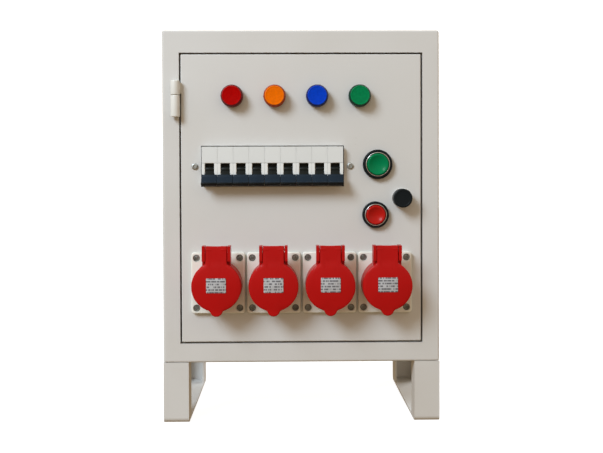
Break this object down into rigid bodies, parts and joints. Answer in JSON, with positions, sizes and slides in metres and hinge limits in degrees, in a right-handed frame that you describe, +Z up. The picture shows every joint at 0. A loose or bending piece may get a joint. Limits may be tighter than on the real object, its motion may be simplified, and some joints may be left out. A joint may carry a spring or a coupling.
{
  "type": "portable power distribution box",
  "caption": "Steel distribution box on strap feet; hinged door with pilot lamps, breakers, push buttons, lock knob and lidded industrial sockets.",
  "frame": {"origin": "middle of the bounding box's base: on the floor, midway between the lids' faces and the back edge", "axes": "+X right as seen from the front, the front faces -Y, +Z up"},
  "size_m": [0.32, 0.235, 0.454],
  "materials": {
    "cabinet_paint": "fine powder coat, satin",
    "zinc": "zinc plated",
    "brass": "drawn",
    "chrome": "polished plating",
    "black_plastic": "moulded, fine grain",
    "dark_plastic": "moulded",
    "grey_plastic": "moulded",
    "cream_plastic": "moulded",
    "red_plastic": "moulded, semi-gloss",
    "breaker_plastic": "moulded",
    "toggle_plastic": "moulded",
    "foam": "closed-cell foam",
    "red_lens": "tinted lens",
    "amber_lens": "tinted lens",
    "blue_lens": "tinted lens",
    "green_lens": "tinted lens",
    "green_cap": "moulded, glossy",
    "red_cap": "moulded, glossy"
  },
  "bodies": {
    "cabinet": {"cabinet_shell": "cabinet_paint", "rear_cover": "cabinet_paint", "rear_screws": "zinc", "left_foot": "cabinet_paint", "right_foot": "cabinet_paint", "foot_bolts": "zinc", "m6_nuts": "zinc", "hinge_frame_knuckle": "cabinet_paint", "hinge_pin": "zinc", "mounting_plate": "zinc", "plate_spacers": "zinc", "inner_rail": "zinc", "contactor": "dark_plastic", "terminal_block": "grey_plastic", "earth_bar": "brass", "cable_gland": "black_plastic", "gland_locknut": "black_plastic"},
    "door": {"door_panel": "cabinet_paint", "door_gasket": "foam", "hinge_door_knuckle": "cabinet_paint", "breaker_rail": "zinc", "rail_posts": "zinc", "panel_screws": "zinc", "breaker_housings": "breaker_plastic", "toggle_pins": "zinc", "lamp_bodies": "black_plastic", "panel_nuts": "black_plastic", "lamp_lens_red": "red_lens", "lamp_lens_amber": "amber_lens", "lamp_lens_blue": "blue_lens", "lamp_lens_green": "green_lens", "button_bezels": "black_plastic", "button_rings": "chrome", "button_blocks": "dark_plastic", "lock_body": "chrome", "lock_nut": "zinc", "socket_flanges": "cream_plastic", "socket_collars": "red_plastic", "socket_inserts": "black_plastic", "socket_carriers": "black_plastic", "socket_contacts": "brass", "lid_pins": "zinc", "lid_springs": "zinc"},
    "breaker_toggle_1": {"toggle_1": "toggle_plastic"},
    "breaker_toggle_2": {"toggle_2": "toggle_plastic"},
    "breaker_toggle_3": {"toggle_3": "toggle_plastic"},
    "breaker_toggle_4": {"toggle_4": "toggle_plastic"},
    "breaker_toggle_5": {"toggle_5": "toggle_plastic"},
    "breaker_toggle_6": {"toggle_6": "toggle_plastic"},
    "breaker_toggle_7": {"toggle_7": "toggle_plastic"},
    "breaker_toggle_8": {"toggle_8": "toggle_plastic"},
    "breaker_toggle_9": {"toggle_9": "toggle_plastic"},
    "start_button": {"start_button_cap": "green_cap"},
    "stop_button": {"stop_button_cap": "red_cap"},
    "lock": {"lock_knob": "black_plastic", "lock_cam": "zinc"},
    "lid_1": {"socket_lid_1": "red_plastic"},
    "lid_2": {"socket_lid_2": "red_plastic"},
    "lid_3": {"socket_lid_3": "red_plastic"},
    "lid_4": {"socket_lid_4": "red_plastic"}
  },
  "joints": [
    {"name": "door_hinge", "type": "hinge", "parent": "cabinet", "child": "door", "pos_m": [-0.144, -0.0882, 0.3745], "axis": [0, 0, -1], "range_deg": [0, 120]},
    {"name": "toggle_1_throw", "type": "hinge", "parent": "door", "child": "breaker_toggle_1", "pos_m": [-0.105, -0.0865, 0.29358], "axis": [-1, 0, 0], "range_deg": [0, 100]},
    {"name": "toggle_2_throw", "type": "hinge", "parent": "door", "child": "breaker_toggle_2", "pos_m": [-0.087, -0.0865, 0.29358], "axis": [-1, 0, 0], "range_deg": [0, 100]},
    {"name": "toggle_3_throw", "type": "hinge", "parent": "door", "child": "breaker_toggle_3", "pos_m": [-0.069, -0.0865, 0.29358], "axis": [-1, 0, 0], "range_deg": [0, 100]},
    {"name": "toggle_4_throw", "type": "hinge", "parent": "door", "child": "breaker_toggle_4", "pos_m": [-0.051, -0.0865, 0.29358], "axis": [-1, 0, 0], "range_deg": [0, 100]},
    {"name": "toggle_5_throw", "type": "hinge", "parent": "door", "child": "breaker_toggle_5", "pos_m": [-0.033, -0.0865, 0.29358], "axis": [-1, 0, 0], "range_deg": [0, 100]},
    {"name": "toggle_6_throw", "type": "hinge", "parent": "door", "child": "breaker_toggle_6", "pos_m": [-0.015, -0.0865, 0.29358], "axis": [-1, 0, 0], "range_deg": [0, 100]},
    {"name": "toggle_7_throw", "type": "hinge", "parent": "door", "child": "breaker_toggle_7", "pos_m": [0.003, -0.0865, 0.29358], "axis": [-1, 0, 0], "range_deg": [0, 100]},
    {"name": "toggle_8_throw", "type": "hinge", "parent": "door", "child": "breaker_toggle_8", "pos_m": [0.021, -0.0865, 0.29358], "axis": [-1, 0, 0], "range_deg": [0, 100]},
    {"name": "toggle_9_throw", "type": "hinge", "parent": "door", "child": "breaker_toggle_9", "pos_m": [0.039, -0.0865, 0.29358], "axis": [-1, 0, 0], "range_deg": [0, 100]},
    {"name": "start_button_push", "type": "slide", "parent": "door", "child": "start_button", "axis": [0, 1, 0], "range_m": [0, 0.004], "stiffness_N_per_m": 500, "springref_m": -0.004},
    {"name": "stop_button_push", "type": "slide", "parent": "door", "child": "stop_button", "axis": [0, 1, 0], "range_m": [0, 0.004], "stiffness_N_per_m": 500, "springref_m": -0.004},
    {"name": "lock_turn", "type": "hinge", "parent": "door", "child": "lock", "pos_m": [0.1155, -0.0825, 0.26], "axis": [0, 1, 0], "range_deg": [0, 90]},
    {"name": "lid_1_hinge", "type": "hinge", "parent": "door", "child": "lid_1", "pos_m": [-0.096, -0.1105, 0.20336], "axis": [-1, 0, 0], "range_deg": [0, 110], "stiffness_Nm_per_rad": 0.02, "springref_deg": -34.38},
    {"name": "lid_2_hinge", "type": "hinge", "parent": "door", "child": "lid_2", "pos_m": [-0.032, -0.1105, 0.20336], "axis": [-1, 0, 0], "range_deg": [0, 110], "stiffness_Nm_per_rad": 0.02, "springref_deg": -34.38},
    {"name": "lid_3_hinge", "type": "hinge", "parent": "door", "child": "lid_3", "pos_m": [0.032, -0.1105, 0.20336], "axis": [-1, 0, 0], "range_deg": [0, 110], "stiffness_Nm_per_rad": 0.02, "springref_deg": -34.38},
    {"name": "lid_4_hinge", "type": "hinge", "parent": "door", "child": "lid_4", "pos_m": [0.096, -0.1105, 0.20336], "axis": [-1, 0, 0], "range_deg": [0, 110], "stiffness_Nm_per_rad": 0.02, "springref_deg": -34.38}
  ]
}
